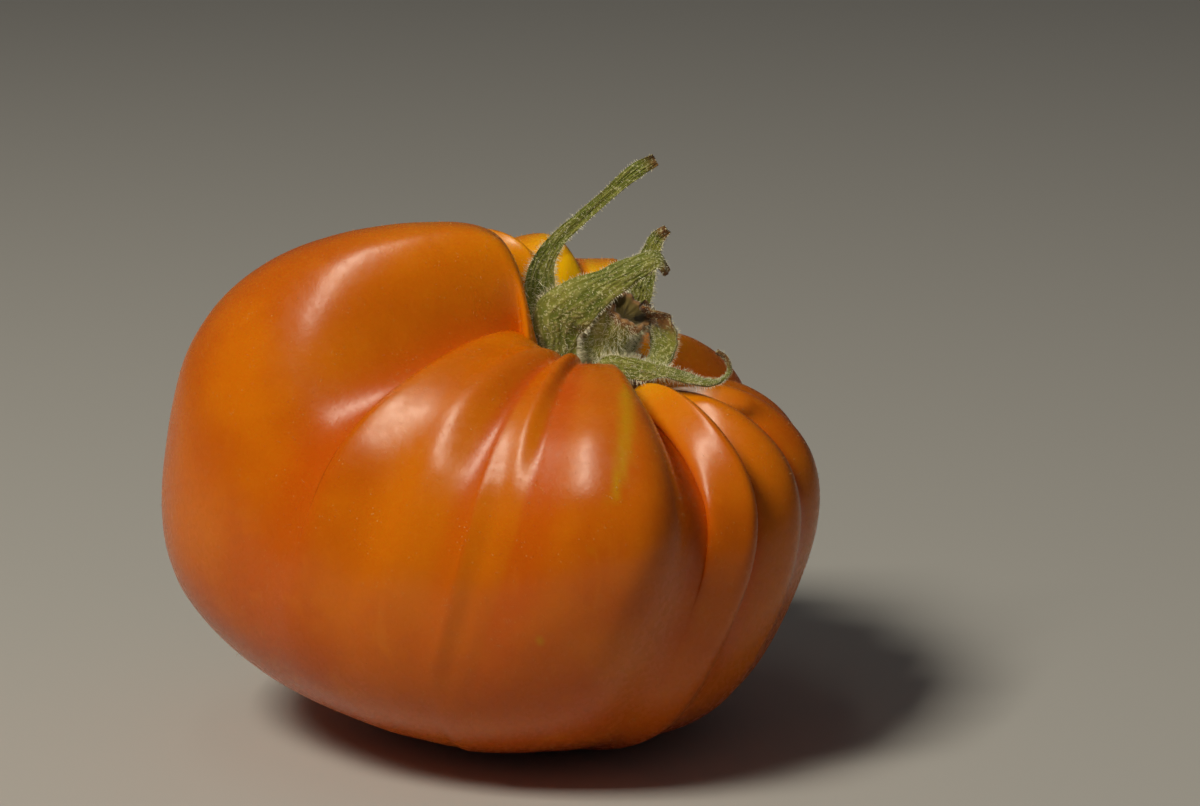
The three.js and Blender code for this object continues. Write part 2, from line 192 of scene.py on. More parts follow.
def groove_angle(i, v):
    """Angle of the first groove of lobe i at the share v of the way down, in degrees."""
    turns = i // LOBE_COUNT
    return GROOVE[i % LOBE_COUNT] + 360 * turns + DRIFT[i % LOBE_COUNT] * (v - MIDDLE)


def nearness(place, v, groove):
    """How near a place is to its groove: 0 on the crest of its lobe, 1 in the groove.

    Creases are crisp by the cavity and fade to waves underneath.
    """
    crisp = ramp(v, WAVED_FROM, WAVED_FROM - CRISP_FADE)
    fade = ramp(v, ROUND_FROM, ROUND_TO)
    floor = SHARPEST_FLOOR + FLOOR[groove] * fade * fade * (3 - 2 * fade)
    away = (np.sqrt((1 - np.abs(place)) ** 2 + floor**2) - floor) / (np.sqrt(1 + floor**2) - floor)
    creased = np.clip(1 - away, 0, 1) ** FALL[groove]
    waved = 0.5 - 0.5 * np.cos(np.pi * place)
    return creased * crisp + waved * (1 - crisp)


def locate(angle, v):
    """Lobe of each angle, the one over its nearer groove, that groove, its nearness, and the place.

    The place is -1 and 1 at the lobe's two grooves.
    """
    degrees = np.degrees(angle)
    own = np.zeros(angle.shape, int)
    place = np.full(angle.shape, -1.0)
    for i in range(LOBE_COUNT):
        start = groove_angle(i, v)
        end = groove_angle(i + 1, v)
        turn = np.floor((degrees - start) / 360)
        u = (degrees - turn * 360 - start) / (end - start) * 2 - 1
        inside = u < 1
        own = np.where(inside, i, own)
        place = np.where(inside, u, place)
    other = np.where(place < 0, own - 1, own + 1) % LOBE_COUNT
    groove = np.where(place < 0, own, own + 1) % LOBE_COUNT
    return own, other, groove, nearness(place, v, groove), place


def body_point(angle, v):
    """The smooth body before its grooves are pressed in."""
    own, other, _, share, _ = locate(angle, v)
    mine = SIZES[own]
    theirs = SIZES[other]
    lower = np.minimum(mine, theirs)
    crease = lower + CREASE_RISE * (np.maximum(mine, theirs) - lower)
    mixed = mine + ((mine + theirs) / 2 - mine) * share[..., None]
    lowered = mine + (crease - mine) * share[..., None]
    reach, waist, wall, heel = mixed[..., 0], mixed[..., 1], mixed[..., 4], mixed[..., 5]
    top, ridge = lowered[..., 2], lowered[..., 3]
    # Control points from the floor of the cavity, up its wall and over the shoulder to the blossom end
    profile = [
        (0, CAVITY_HEIGHT),
        (0.7 * wall, CAVITY_HEIGHT),
        (wall, CAVITY_HEIGHT + 0.66 * (top - CAVITY_HEIGHT)),
        (0.31 * (wall + ridge), top + 0.8),
        (ridge + 0.08 * (reach - ridge), top + 1.2),
        (0.94 * reach, waist + 0.68 * (top - waist)),
        (1.04 * reach, waist),
        (0.92 * reach, waist * heel),
        (0.42 * reach, 0.2 * waist * (heel - 0.15)),
        (0, 0),
    ]
    radius = spline([pair[0] for pair in profile], v)
    height = spline([pair[1] for pair in profile], v)
    return np.stack([radius * np.cos(angle), radius * np.sin(angle), height], -1)


def groove_depth(angle, v):
    _, _, groove, share, _ = locate(angle, v)
    inner, shoulder, waist = (CUTS[groove][..., k] for k in range(3))
    along = [0, 0.5 * inner, inner, inner, shoulder, (shoulder + waist) / 2, waist, 0.3 * waist, 0, 0]
    return share * spline(along, v)


def lumps(points, size, seed):
    """Smooth noise from -1 to 1 at each point, with lumps of about that size in millimetres."""
    shift = Vector((seed * 7.3, seed * 3.1, seed * 5.7))
    flat = points.reshape(-1, 3)
    values = [noise.noise(Vector(point) / size + shift) for point in flat]
    return np.array(values).reshape(points.shape[:-1])


def swelling(angle, v, point):
    """How far the skin stands out from the smooth body."""
    own, other, _, share, place = locate(angle, v)
    # Broad uneven swellings, faint ribs down each lobe and fine puckers round the calyx
    swell = BROAD_SWELLING * lumps(point, BROAD_SIZE, 1) + FINE_SWELLING * lumps(point, FINE_SIZE, 2)
    ribs = np.stack([np.cos(angle) * RIBS_AROUND, np.sin(angle) * RIBS_AROUND, v * RIB_BEND], -1)
    swell += FAINT_RIB * lumps(ribs, 1, 3) * np.clip(1.4 - 1.5 * v, 0, 1)
    puckered = ramp(v, 0.3, 0.15) * ramp(v, 0, 0.06)
    swell += PUCKER * puckered * lumps(ribs * PUCKERS_PER_RIB, 1, 4)
    # Bulging crests
    crown = toward(CROWN, own, other, share) * ramp(v, 0.3, 0.42) * ramp(v, 0.72, 0.52)
    swell += crown * (0.5 + 0.5 * np.cos(np.pi * place))
    for crest_angle, half_width, height in CRESTS:
        aside = (np.degrees(angle) - crest_angle + 180) % 360 - 180
        window = ramp(v, 0.36, 0.46) * ramp(v, 0.72, 0.57)
        swell += height * np.exp(-((aside / half_width) ** 2)) * window
    # Fuller or flatter shoulders
    raised = np.exp(-(((v - UPPER_SHOULDER) / SHOULDER_SPREAD) ** 2))
    drawn_in = np.exp(-(((v - LOWER_SHOULDER) / SHOULDER_SPREAD) ** 2))
    swell += toward(SHOULDER, own, other, share) * (raised - drawn_in)
    return swell * ramp(v, 0, 0.08) * ramp(v, 0.9, 0.65)


def fruit_surface(angle, v):
    step = 1e-3
    inner = np.clip(v, 2 * step, 1 - 2 * step)
    around = body_point(angle + step, inner) - body_point(angle - step, inner)
    down = body_point(angle, inner + step) - body_point(angle, inner - step)
    outward = np.cross(down, around)
    outward /= np.linalg.norm(outward, axis=-1, keepdims=True) + 1e-12
    point = body_point(angle, v)
    point = point + outward * (swelling(angle, v, point) - groove_depth(angle, v))[..., None]
    rise = np.clip(point[..., 2] / (CAVITY_HEIGHT * LEAN_REACH), 0, 1)
    point[..., 0] += AXIS_LEAN * (0.5 - 0.5 * np.cos(np.pi * rise)) + BASE_X
    point[..., 1] += BASE_Y
    point[..., 2] = np.maximum(point[..., 2] - SETTLE, 0)
    return point


# Meshes


def make_object(name, vertices, faces, values=None, smooth=True):
    """A mesh object from points in millimetres, with one number a point for each named value."""
    mesh = bpy.data.meshes.new(name)
    mesh.from_pydata((np.asarray(vertices) * MM).tolist(), [], faces)
    mesh.validate()
    for key, numbers in (values or {}).items():
        layer = mesh.attributes.new(key, "FLOAT", "POINT")
        layer.data.foreach_set("value", np.asarray(numbers, np.float32))
    if smooth:
        mesh.shade_smooth()
    obj = bpy.data.objects.new(name, mesh)
    bpy.context.scene.collection.objects.link(obj)
    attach(obj, "root")
    return obj


def ring_faces(rings, size, first=0, caps=True):
    """Faces over rings of points, each with that many points, then a start and an end point."""
    faces = []
    for ring in range(rings - 1):
        a = first + ring * size
        for i in range(size):
            j = (i + 1) % size
            faces.append((a + i, a + j, a + size + j, a + size + i))
    if caps:
        start = first + rings * size
        last = first + (rings - 1) * size
        for i in range(size):
            j = (i + 1) % size
            faces.append((start, first + j, first + i))
            faces.append((start + 1, last + i, last + j))
    return faces


def streak_strength(angle, v):
    """How strong the pale stripe is at each place, from 0 to 1."""
    middle = STREAK_ANGLE + STREAK_DRIFT * (v - STREAK_TOP)
    opening = ramp(v, STREAK_TOP, STREAK_TOP + STREAK_OPENING)
    closing = ramp(v, STREAK_END, STREAK_TOP)
    half = STREAK_HALF_WIDTH * opening * np.sqrt(closing) + 0.01
    return np.clip(STREAK_CORE - np.abs(np.degrees(angle) - middle) / half, 0, 1)


def make_fruit():
    lobe_of, place = [], []
    for i in range(LOBE_COUNT):
        turn = groove_angle(i + 1, MIDDLE) - groove_angle(i, MIDDLE)
        columns = max(FEWEST_COLUMNS, round(turn / COLUMN_TURN))
        for column in range(columns):
            lobe_of.append(i)
            place.append(math.sin(math.pi * (column / columns - 0.5)))
    lobe_of, place = np.array(lobe_of), np.array(place)
    v = np.linspace(FIRST_ROW, LAST_ROW, ROWS)[:, None] * np.ones(len(place))
    start = np.stack([groove_angle(i, v[:, k]) for k, i in enumerate(lobe_of)], -1)
    end = np.stack([groove_angle(i + 1, v[:, k]) for k, i in enumerate(lobe_of)], -1)
    angle = np.radians((start + end) / 2 + place * (end - start) / 2)
    points = fruit_surface(angle, v)
    ends = fruit_surface(np.zeros(2), np.array([0.0, 1.0]))
    _, other, _, share, _ = locate(angle, v)

    def with_ends(values, first, last):
        return np.concatenate([values.ravel(), [first, last]])

    vertices = np.concatenate([points.reshape(-1, 3), ends])
    fruit = make_object("fruit_skin", vertices, ring_faces(ROWS, len(place)), {
        "crease": with_ends(share**3, 0, 0),
        "down": with_ends(v, 0, 1),
        "golden_and_painted_light": with_ends(toward(GOLD_AND_PAINTED_LIGHT, lobe_of, other, share), 0.5, 0),
        "streak": with_ends(streak_strength(angle, v), 0, 0),
    })
    return fruit, points


# Hairs


# Along a hair: share of its length and share of its radius. Its root is sunk a little.
HAIR_STEPS = ((-0.06, 1.0), (0.35, 0.8), (0.7, 0.5), (1.0, 0.0))
HAIR_SIDES = 3
HAIR_WANDER = 0.25


def hair_coat(name, roots, directions, lengths, radius, droop):
    """Fine tapering hairs as one mesh."""
    roots, directions, lengths = np.array(roots), np.array(directions), np.array(lengths)
    count = len(roots)
    directions = directions / np.linalg.norm(directions, axis=1, keepdims=True)
    helper = np.where(np.abs(directions[:, 2:]) < 0.8, [[0.0, 0.0, 1.0]], [[1.0, 0.0, 0.0]])
    side = np.cross(directions, helper)
    side /= np.linalg.norm(side, axis=1, keepdims=True)
    other = np.cross(directions, side)
    bend = random_draw.normal(0, HAIR_WANDER, (count, 3))
    bend[:, 2] -= droop
    vertices = []
    for share, thick in HAIR_STEPS:
        centre = roots + (directions * share + bend * share * abs(share)) * lengths[:, None]
        if thick == 0:
            vertices.append(centre[:, None])
            continue
        corners = []
        for corner in range(HAIR_SIDES):
            turn = 2 * math.pi * corner / HAIR_SIDES
            corners.append(centre + radius * thick * (side * math.cos(turn) + other * math.sin(turn)))
        vertices.append(np.stack(corners, 1))
    vertices = np.concatenate(vertices, 1).reshape(-1, 3)
    faces = []
    levels = len(HAIR_STEPS) - 2
    for hair in range(count):
        base = hair * (HAIR_SIDES * (levels + 1) + 1)
        top = base + HAIR_SIDES * levels
        for corner in range(HAIR_SIDES):
            following = (corner + 1) % HAIR_SIDES
            for level in range(levels):
                a = base + level * HAIR_SIDES + corner
                b = base + level * HAIR_SIDES + following
                faces.append((a, b, b + HAIR_SIDES, a + HAIR_SIDES))
            faces.append((top + corner, top + following, top + HAIR_SIDES))
        faces.append((base + 2, base + 1, base))
    return make_object(name, vertices, faces, smooth=False)


# The calyx

# Each sepal runs along its middle line. across points to its second edge at each of those points,
# widths are its full widths there, cup bends both edges to one side or, below 0, to the other, and
# dry is how far along it the browned, papery end begins.
SEPALS = [
    {
        # back left: the long strap that stands up and leans over to the right
        "path": [
            (13.4, 1.4, 53), (10.4, 3.4, 56), (8.4, 4.2, 60.5), (7.7, 4.2, 65), (8.3, 4, 68.5),
            (10.2, 3.8, 71.6), (13.4, 3.6, 74.7), (17.6, 3.3, 78.5), (21.6, 3, 82),
            (24.4, 3, 83.6),
        ],
        "across": [
            (0.6, 0.8, 0), (0.8, 0.5, 0), (1, 0, 0), (1, 0, -0.1), (0.95, -0.1, -0.2),
            (0.85, -0.2, -0.4), (0.75, -0.2, -0.6), (0.7, -0.2, -0.65), (0.65, -0.2, -0.7),
            (0.6, -0.2, -0.75),
        ],
        "widths": [4.6, 5, 5, 4.5, 3.3, 2.3, 1.9, 1.8, 2.3, 1.8],
        "cup": -1.1,
        "dry": 0.84,
    },
    {
        # front left: the broad one that curls over in front of the stem
        "path": [
            (13.6, -2, 52.8), (11.1, -3.6, 55.2), (10.2, -4.7, 58.6), (10.6, -5.2, 61.8),
            (13.2, -5.8, 64.5), (17.4, -6, 67.2), (21.6, -5.4, 69.5), (24.6, -4.6, 70.4),
            (26, -4, 68.4),
        ],
        "across": [
            (-0.6, 0.8, 0), (-0.9, 0.3, 0.1), (-1, 0.1, 0.1), (-0.82, 0.15, 0.56), (-0.6, 0.3, 0.74),
            (-0.55, 0.35, 0.8), (-0.5, 0.4, 0.8), (-0.2, 0.4, 0.9), (0.3, 0.3, 0.9),
        ],
        "widths": [5, 5, 5.8, 8.2, 7, 4.6, 3.6, 2.7, 1.5],
        "cup": -0.5,
        "dry": 0.82,
    },
    {
        # back right: short and upright behind the stem
        "path": [
            (18.4, 2.2, 53), (20.2, 4.2, 56.4), (21.4, 5.4, 60.3), (22.5, 6, 64.6),
            (23.6, 6, 68.6), (24.6, 5.8, 71.4), (26.2, 5.4, 73),
        ],
        "across": [
            (0.7, -0.7, 0), (0.9, -0.4, 0), (1, -0.2, -0.2), (1, -0.2, -0.2), (0.9, -0.3, -0.3),
            (0.7, -0.3, -0.6), (0.5, -0.3, -0.8),
        ],
        "widths": [4.4, 4.2, 3.8, 3.5, 2.9, 2.2, 1.4],
        "cup": -0.8,
        "dry": 0.78,
    },
    {
        # right: cupped round the stem, its dry end curled in over the top
        "path": [
            (18.6, -1.2, 52.5), (21.4, -2.9, 53.8), (23.7, -3.9, 56), (24.5, -4.1, 58.8),
            (24.1, -3.8, 61.6), (22.2, -3.6, 63.6),
        ],
        "across": [
            (-0.2, -1, 0), (0, -1, 0.3), (0.3, -0.9, 0.4), (0.5, -0.8, 0.2), (0.5, -0.8, -0.2),
            (0.3, -0.9, -0.3),
        ],
        "widths": [5, 6.6, 7.2, 6.8, 5.8, 4.2],
        "cup": 1,
        "dry": 0.6,
    },
    {
        # front right: low along the shoulder of the fruit, ending in a dry curled thread
        "path": [
            (16.6, -2.4, 52.4), (15.2, -5, 53.8), (16.8, -6.8, 55), (19.8, -7.5, 55.3),
            (23, -8.1, 54.9), (26, -8.6, 54.9), (29, -9, 54.1), (31.8, -9, 53.5),
            (33.8, -8.8, 53.8), (34.8, -8.4, 55.2), (34.2, -8, 57), (33, -7.8, 57.8),
        ],
        "across": [
            (0.9, 0.2, 0), (0.8, 0.5, 0.3), (0.3, 0.5, 0.8), (0.1, 0.4, 1), (0.1, 0.5, 0.9),
            (0.1, 0.8, 0.6), (0.1, 1, 0.3), (0.2, 1, 0.1), (0.1, 1, 0), (0, 1, 0), (0, 1, 0),
            (0, 1, 0),
        ],
        "widths": [4.4, 4.2, 3.8, 3.4, 2.8, 1.9, 2.4, 2.2, 1.3, 0.9, 0.85, 0.8],
        "cup": -0.3,
        "dry": 0.72,
    },
]
STEM_X = BASE_X + AXIS_LEAN - 0.3
STEM_Y = BASE_Y
CALYX_FLOOR = 49.4
BLADE_THICKNESS = 0.62
EDGE_THINNING = 0.75  # leaves the edges half as thick as the middle: the square root of 1 - 0.75
CUP_WIDTH = 3  # half width at which the cup is as deep as stated
BLADE_STEPS = 120
BLADE_COLUMNS = 40

# Relief of the sepals: heights in millimetres, how many ribs, and what the dry ends add
RIB_HEIGHT = 0.15
RIB_COUNT = 5
FINE_RIB_COUNT = 12
CRUMPLE = 0.22
DRY_CRUMPLE = 0.4
WRINKLE = 0.05
DRY_WRINKLE = 0.14
EDGE_WAVES = 0.09  # as a share of the half width
DRYING_LENGTH = 0.18  # share of the sepal over which it browns

# Hairs of the calyx: how many on each sepal, the share of them at its edges, and their radius
SEPAL_HAIRS = 1900
EDGE_SHARE = 0.45
LOOSE_HAIRS = (40, 6, 6, 6, 6)  # long ones on each sepal, most across the foot of the strap
RECEPTACLE_HAIRS = 800
CALYX_HAIR_RADIUS = 0.035

# The receptacle that the sepals grow from: radius and height of its outline, from below
RECEPTACLE_HEIGHT = 4.9
RECEPTACLE_OUTLINE = [
    (0.3, 0.05), (2, 0.1), (3.2, 0.25), (4.1, 0.9), (4.5, 1.7), (4.7, 2.6), (4.6, 3.6), (4.2, 4.4),
    (3.6, 4.8), (2, RECEPTACLE_HEIGHT), (0.3, RECEPTACLE_HEIGHT),
]
RECEPTACLE_SIDES = 72
RECEPTACLE_LOBES = 5
RECEPTACLE_WAVE = 0.06


def curve_points(points, t):
    """Centripetal Catmull-Rom curve through the points, at shares t of its length in spans."""
    points = np.asarray(points, float)
    padded = np.concatenate([[2 * points[0] - points[1]], points, [2 * points[-1] - points[-2]]])
    x = np.minimum(t, 1 - 1e-9) * (len(points) - 1)
    k = np.floor(x).astype(int)
    f = (x - k)[:, None]
    p0, p1, p2, p3 = (padded[k + i] for i in range(4))
    gap = lambda a, b: np.sqrt(np.linalg.norm(b - a, axis=1, keepdims=True))
    d0, d1, d2 = gap(p0, p1), gap(p1, p2), gap(p2, p3)
    d1 = np.where(d1 < 1e-4, 1.0, d1)
    d0 = np.where(d0 < 1e-4, d1, d0)
    d2 = np.where(d2 < 1e-4, d1, d2)
    t1 = ((p1 - p0) / d0 - (p2 - p0) / (d0 + d1) + (p2 - p1) / d1) * d1
    t2 = ((p2 - p1) / d1 - (p3 - p1) / (d1 + d2) + (p3 - p2) / d2) * d1
    return (
        p1
        + t1 * f
        + (-3 * p1 + 3 * p2 - 2 * t1 - t2) * f**2
        + (2 * p1 - 2 * p2 + t1 + t2) * f**3
    )


def unit(vectors):
    return vectors / (np.linalg.norm(vectors, axis=-1, keepdims=True) + 1e-12)


def relief(t, s, number):
    """Veins and wrinkles of a sepal from about -1 to 1, uneven across and along the blade."""
    heights = np.zeros((len(t), len(s)))
    for row, down in enumerate(t):
        for column, across in enumerate(s):
            wander = noise.noise(Vector((down * 9, across * 2.2, number * 6.1)))
            strength = noise.noise(Vector((down * 13, across * 4, number * 2.9 + 40)))
            tangle = noise.noise(Vector((down * 20, across * 4, number * 4.3 + 80)))
            veins = math.cos(math.pi * (RIB_COUNT * across + 1.6 * wander))
            threads = math.cos(math.pi * (FINE_RIB_COUNT * across + 4 * tangle))
            heights[row, column] = veins * (0.5 + 0.5 * strength) + threads * (0.45 - 0.4 * strength)
    return heights


def sepal_grid(sepal, number):
    """Middle surface of a sepal as a grid of points, with its face direction and dryness."""
    t = np.linspace(0, 1, BLADE_STEPS + 1)
    centre = curve_points(sepal["path"], t)
    forward = unit(np.gradient(centre, axis=0))
    side = curve_points(sepal["across"], t)
    side = unit(side - forward * np.sum(side * forward, 1, keepdims=True))
    face = np.cross(forward, side)
    widths = sepal["widths"]
    half = np.interp(t * (len(widths) - 1), range(len(widths)), widths) / 2
    s = np.linspace(-1, 1, BLADE_COLUMNS + 1)
    dry = ramp(t, sepal["dry"], sepal["dry"] + DRYING_LENGTH)
    # The dry end crumples more, and the edges are slightly uneven all along
    edge = np.array([noise.noise(Vector((x * 14, number * 5.1, 0))) for x in t])
    edge_two = np.array([noise.noise(Vector((x * 14, number * 5.1, 9))) for x in t])
    waves = np.where(s < 0, edge[:, None], edge_two[:, None]) * np.abs(s)
    width = half[:, None] * (1 + EDGE_WAVES * waves)
    crumple = np.array([
        [noise.noise(Vector((x * 9, y * 1.2, number * 3.7))) for y in s] for x in t
    ])
    fine = np.array([
        [noise.noise(Vector((x * 26, y * 3.0, number * 8.3))) for y in s] for x in t
    ])
    bend = sepal["cup"] * (half / CUP_WIDTH) ** 2
    veins = relief(t, s, number)
    lift = bend[:, None] * s**2 + RIB_HEIGHT * veins * np.minimum(1, half / 2)[:, None]
    lift = lift + crumple * (CRUMPLE + DRY_CRUMPLE * dry[:, None]) * np.minimum(1, half)[:, None]
    lift = lift + fine * (WRINKLE + DRY_WRINKLE * dry[:, None])
    points = centre[:, None] + side[:, None] * (s * width)[..., None] + face[:, None] * lift[..., None]
    return points, face, side, forward, dry, s, veins


def sepal_hairs(number, points, face, side, forward, s, half_thickness):
    """Roots, directions and lengths of the hairs of one sepal."""
    roots, directions, lengths = [], [], []
    # Long near the foot and short further up, almost half of them at the edges
    for _ in range(SEPAL_HAIRS):
        row = int(random_draw.beta(0.9, 1.5) * BLADE_STEPS)
        at_edge = random_draw.random() < EDGE_SHARE
        if at_edge:
            column = random_draw.choice((0, BLADE_COLUMNS))
        else:
            column = random_draw.integers(0, BLADE_COLUMNS + 1)
        outward = face[row] * random_draw.choice((-1, 1))
        lean = side[row] * s[column] * (1.6 if at_edge else 0.2)
        near_foot = 1 - row / BLADE_STEPS
        roots.append(points[row, column] + outward * half_thickness[column])
        directions.append(outward + lean + forward[row] * 0.5 + random_draw.normal(0, 0.35, 3))
        lengths.append((0.3 + 1.3 * near_foot**2) * random_draw.uniform(0.5, 1.25))
    # Long loose ones near the foot
    for _ in range(LOOSE_HAIRS[number]):
        row = random_draw.integers(8, 46)
        column = random_draw.integers(0, BLADE_COLUMNS + 1)
        roots.append(points[row, column] - face[row] * half_thickness[column])
        directions.append(random_draw.normal(0, 1, 3) - face[row] * 0.8)
        lengths.append(random_draw.uniform(2, 4.5))
    return roots, directions, lengths


def receptacle_rings(turns):
    rings = []
    for radius, height in RECEPTACLE_OUTLINE:
        ring = []
        for turn in turns:
            reach = radius * (1 + RECEPTACLE_WAVE * math.cos(RECEPTACLE_LOBES * turn))
            x = STEM_X + reach * math.cos(turn)
            y = STEM_Y + reach * math.sin(turn)
            ring.append((x, y, CALYX_FLOOR + height))
        rings.append(ring)
    return np.array(rings)


def receptacle_hairs(rings, turns):
    roots, directions, lengths = [], [], []
    for _ in range(RECEPTACLE_HAIRS):
        row = random_draw.integers(3, len(rings) - 1)
        column = random_draw.integers(0, len(turns))
        outward = np.array([math.cos(turns[column]), math.sin(turns[column]), 0.7])
        roots.append(rings[row, column])
        directions.append(outward + random_draw.normal(0, 0.35, 3))
        lengths.append(random_draw.uniform(0.4, 1.5))
    return roots, directions, lengths


def make_calyx():
    vertices, faces, dryness, ribs, along = [], [], [], [], []
    hairs = [[], [], []]

    def add_hairs(more):
        for store, values in zip(hairs, more):
            store.extend(values)

    for number, sepal in enumerate(SEPALS):
        points, face, side, forward, dry, s, veins = sepal_grid(sepal, number)
        half_thickness = np.sqrt(1 - EDGE_THINNING * s**2) * BLADE_THICKNESS / 2
        upper = points + face[:, None] * half_thickness[:, None]
        lower = points - face[:, None] * half_thickness[:, None]
        rings = np.concatenate([upper, lower[:, ::-1]], 1)[:, ::-1]
        size = rings.shape[1]
        first = sum(len(part) for part in vertices)
        faces += ring_faces(len(rings), size, first)
        vertices.append(rings.reshape(-1, 3))
        vertices.append(np.stack([points[0].mean(0), points[-1].mean(0)]))
        rib = np.concatenate([veins, -veins[:, ::-1]], 1)[:, ::-1]
        for store, values, ends in (
            (dryness, np.repeat(dry, size), (0, 1)),
            (ribs, rib.ravel(), (0, 0)),
            (along, np.repeat(np.linspace(0, 1, len(rings)), size), (0, 1)),
        ):
            store.append(values)
            store.append(ends)
        add_hairs(sepal_hairs(number, points, face, side, forward, s, half_thickness))
    turns = np.linspace(0, 2 * np.pi, RECEPTACLE_SIDES, endpoint=False)
    rings = receptacle_rings(turns)
    first = sum(len(part) for part in vertices)
    faces += ring_faces(len(rings), len(turns), first)
    vertices.append(rings.reshape(-1, 3))
    bottom = (STEM_X, STEM_Y, CALYX_FLOOR)
    top = (STEM_X, STEM_Y, CALYX_FLOOR + RECEPTACLE_HEIGHT)
    vertices.append(np.array([bottom, top]))
    for store in (dryness, ribs, along):
        store.append(np.zeros(len(rings) * len(turns) + 2))
    add_hairs(receptacle_hairs(rings, turns))
    calyx = make_object("calyx_sepals", np.concatenate(vertices), faces, {
        "dry": np.concatenate(dryness),
        "rib": np.concatenate(ribs),
        "along": np.concatenate(along),
    })
    return calyx, hair_coat("calyx_hairs", *hairs, CALYX_HAIR_RADIUS, 0.1)


# The stub of stem

STEM_PATH = [(16.6, 0.3, 55.3), (16.8, 0.1, 56.6), (18.3, -1.1, 59.6), (20.6, -2.6, 62.8)]
STEM_PROFILE = [1.02, 1.1, 1.12, 1.06, 1.06, 1.17]  # radius along it, as shares of STEM_RADIUS
STEM_RADIUS = 3.1
STEM_ROWS = 60
STEM_SIDES = 84
STEM_DRY_FROM = 0.84  # share of its length where it begins to brown
STEM_HAIRS = 2600
STEM_HAIR_RADIUS = 0.032

# The broken rim and the hollow: share of the rim's radius, and how far below the rim
RIM_RADIUS = 1.15
RIM_RINGS = (
    (0.98, -0.16), (0.9, -0.2), (0.82, -0.08), (0.75, 0.2), (0.68, 0.6), (0.58, 1.0), (0.45, 1.3),
    (0.25, 1.5),
)
RIM_TEARS = 0.6
RIM_UNEVEN = 0.16
STEM_UNEVEN = 0.03
DRY_UNEVEN = 0.12
HOLLOW_DEPTH = 1.8


def make_stem():
    t = np.linspace(0, 1, STEM_ROWS)
    centre = curve_points(STEM_PATH, t)
    forward = unit(np.gradient(centre, axis=0))
    side = unit(np.array([0, -1, 0]) + forward * forward[:, 1:2])
    up = np.cross(forward, side)
    profile = np.interp(t * (len(STEM_PROFILE) - 1), range(len(STEM_PROFILE)), STEM_PROFILE)
    turns = np.linspace(0, 2 * np.pi, STEM_SIDES, endpoint=False)
    rings, dry, inside = [], [], []

    def add_ring(row, radius, sink, uneven, dryness, within):
        ring = []
        for turn in turns:
            x, y = math.cos(turn), math.sin(turn)
            seed = Vector((x * 2.1, y * 2.1, row * 0.06 + sink * 0.8))
            ragged = 1 + uneven * noise.noise(seed * 1.6) + 0.035 * math.cos(7 * turn + 1.2)
            torn = RIM_TEARS * dryness * noise.noise(Vector((x * 3.3, y * 3.3, 4)))
            spoke = side[row] * x + up[row] * y
            ring.append(centre[row] + spoke * radius * ragged + forward[row] * (torn - sink))
        rings.append(ring)
        dry.extend([dryness] * STEM_SIDES)
        inside.extend([within] * STEM_SIDES)

    for row in range(STEM_ROWS):
        dryness = max(0, (t[row] - STEM_DRY_FROM) / (1 - STEM_DRY_FROM))
        add_ring(row, STEM_RADIUS * profile[row], 0, STEM_UNEVEN + DRY_UNEVEN * dryness, dryness, 0)
    last = STEM_ROWS - 1
    for share, sink in RIM_RINGS:
        within = min(1, (1 - share) / 0.3)
        add_ring(last, STEM_RADIUS * RIM_RADIUS * share, sink, RIM_UNEVEN, 1, within)
    points = np.array(rings)
    end = centre[-1] - forward[-1] * HOLLOW_DEPTH
    vertices = np.concatenate([points.reshape(-1, 3), [centre[0], end]])
    stem = make_object("stem_stub_bark", vertices, ring_faces(len(rings), STEM_SIDES), {
        "dry": dry + [0, 1],
        "inside": inside + [0, 1],
    })
    roots, directions, lengths = [], [], []
    for _ in range(STEM_HAIRS):
        row = int(random_draw.integers(2, STEM_ROWS))
        column = int(random_draw.integers(0, STEM_SIDES))
        outward = unit(points[row, column] - centre[row])
        roots.append(points[row, column])
        directions.append(outward + forward[row] * 0.15 + random_draw.normal(0, 0.3, 3))
        lengths.append(random_draw.uniform(0.35, 1.3))
    return stem, hair_coat("stem_hairs", roots, directions, lengths, STEM_HAIR_RADIUS, 0.05)


# Materials


def linear(red, green, blue):
    """Screen colour from 0 to 255 turned into scene-linear colour."""
    convert = lambda c: c / 12.92 if c <= 0.04045 else ((c + 0.055) / 1.055) ** 2.4
    return tuple(convert(c / 255) for c in (red, green, blue)) + (1.0,)


